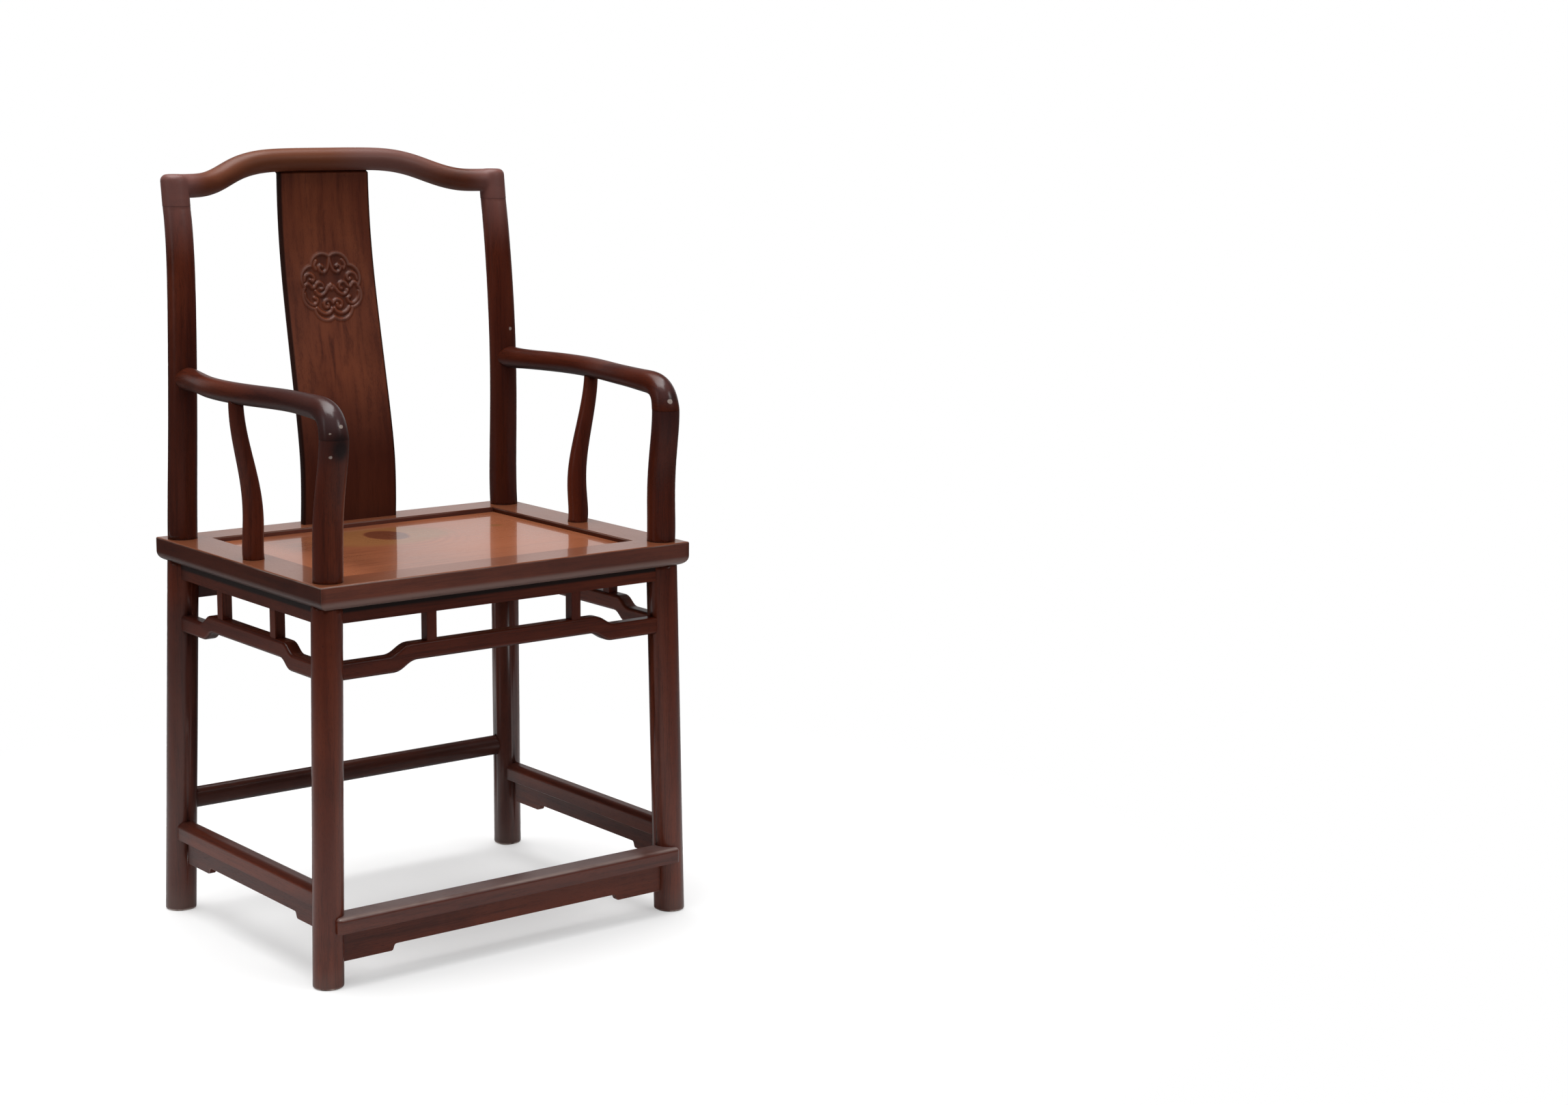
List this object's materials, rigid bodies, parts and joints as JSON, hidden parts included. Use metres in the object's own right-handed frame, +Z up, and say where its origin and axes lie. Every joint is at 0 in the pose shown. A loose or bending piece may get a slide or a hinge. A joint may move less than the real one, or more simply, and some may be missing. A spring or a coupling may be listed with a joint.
{
  "type": "official hat armchair",
  "caption": "Hardwood armchair with splayed round legs, humpback stretchers, a stepped foot rest, bowed arms, a curved back board with a carved roundel and a yoke-shaped crest rail.",
  "frame": {"origin": "on the floor, at the middle of the chair's overall width and depth", "axes": "+Z up, -Y the way the sitter faces, +X to the right as seen from in front of the chair"},
  "size_m": [0.5966, 0.5102, 1.0669],
  "materials": {
    "frame_wood": "semi-gloss oiled hardwood",
    "seat_board": "polished hardwood",
    "back_board": "semi-gloss oiled hardwood"
  },
  "bodies": {
    "root": {"apron_front": "frame_wood", "apron_left": "frame_wood", "apron_right": "frame_wood", "arm_left": "frame_wood", "arm_right": "frame_wood", "back_splat": "back_board", "back_stretcher": "frame_wood", "crest_rail": "frame_wood", "foot_rest": "frame_wood", "front_post_left": "frame_wood", "front_post_right": "frame_wood", "hump_rail_front": "frame_wood", "hump_rail_left": "frame_wood", "hump_rail_right": "frame_wood", "panel_batten_left": "frame_wood", "panel_batten_right": "frame_wood", "rear_post_left": "frame_wood", "rear_post_right": "frame_wood", "seat_panel": "seat_board", "seat_rail_back": "frame_wood", "seat_rail_front": "frame_wood", "seat_rail_left": "frame_wood", "seat_rail_right": "frame_wood", "side_post_left": "frame_wood", "side_post_right": "frame_wood", "side_stretcher_left": "frame_wood", "side_stretcher_right": "frame_wood", "strut_front_left": "frame_wood", "strut_front_right": "frame_wood", "strut_side_front_left": "frame_wood", "strut_side_front_right": "frame_wood", "strut_side_rear_left": "frame_wood", "strut_side_rear_right": "frame_wood", "under_rail_back": "frame_wood", "under_rail_front": "frame_wood", "under_rail_left": "frame_wood", "under_rail_right": "frame_wood"}
  },
  "joints": []
}
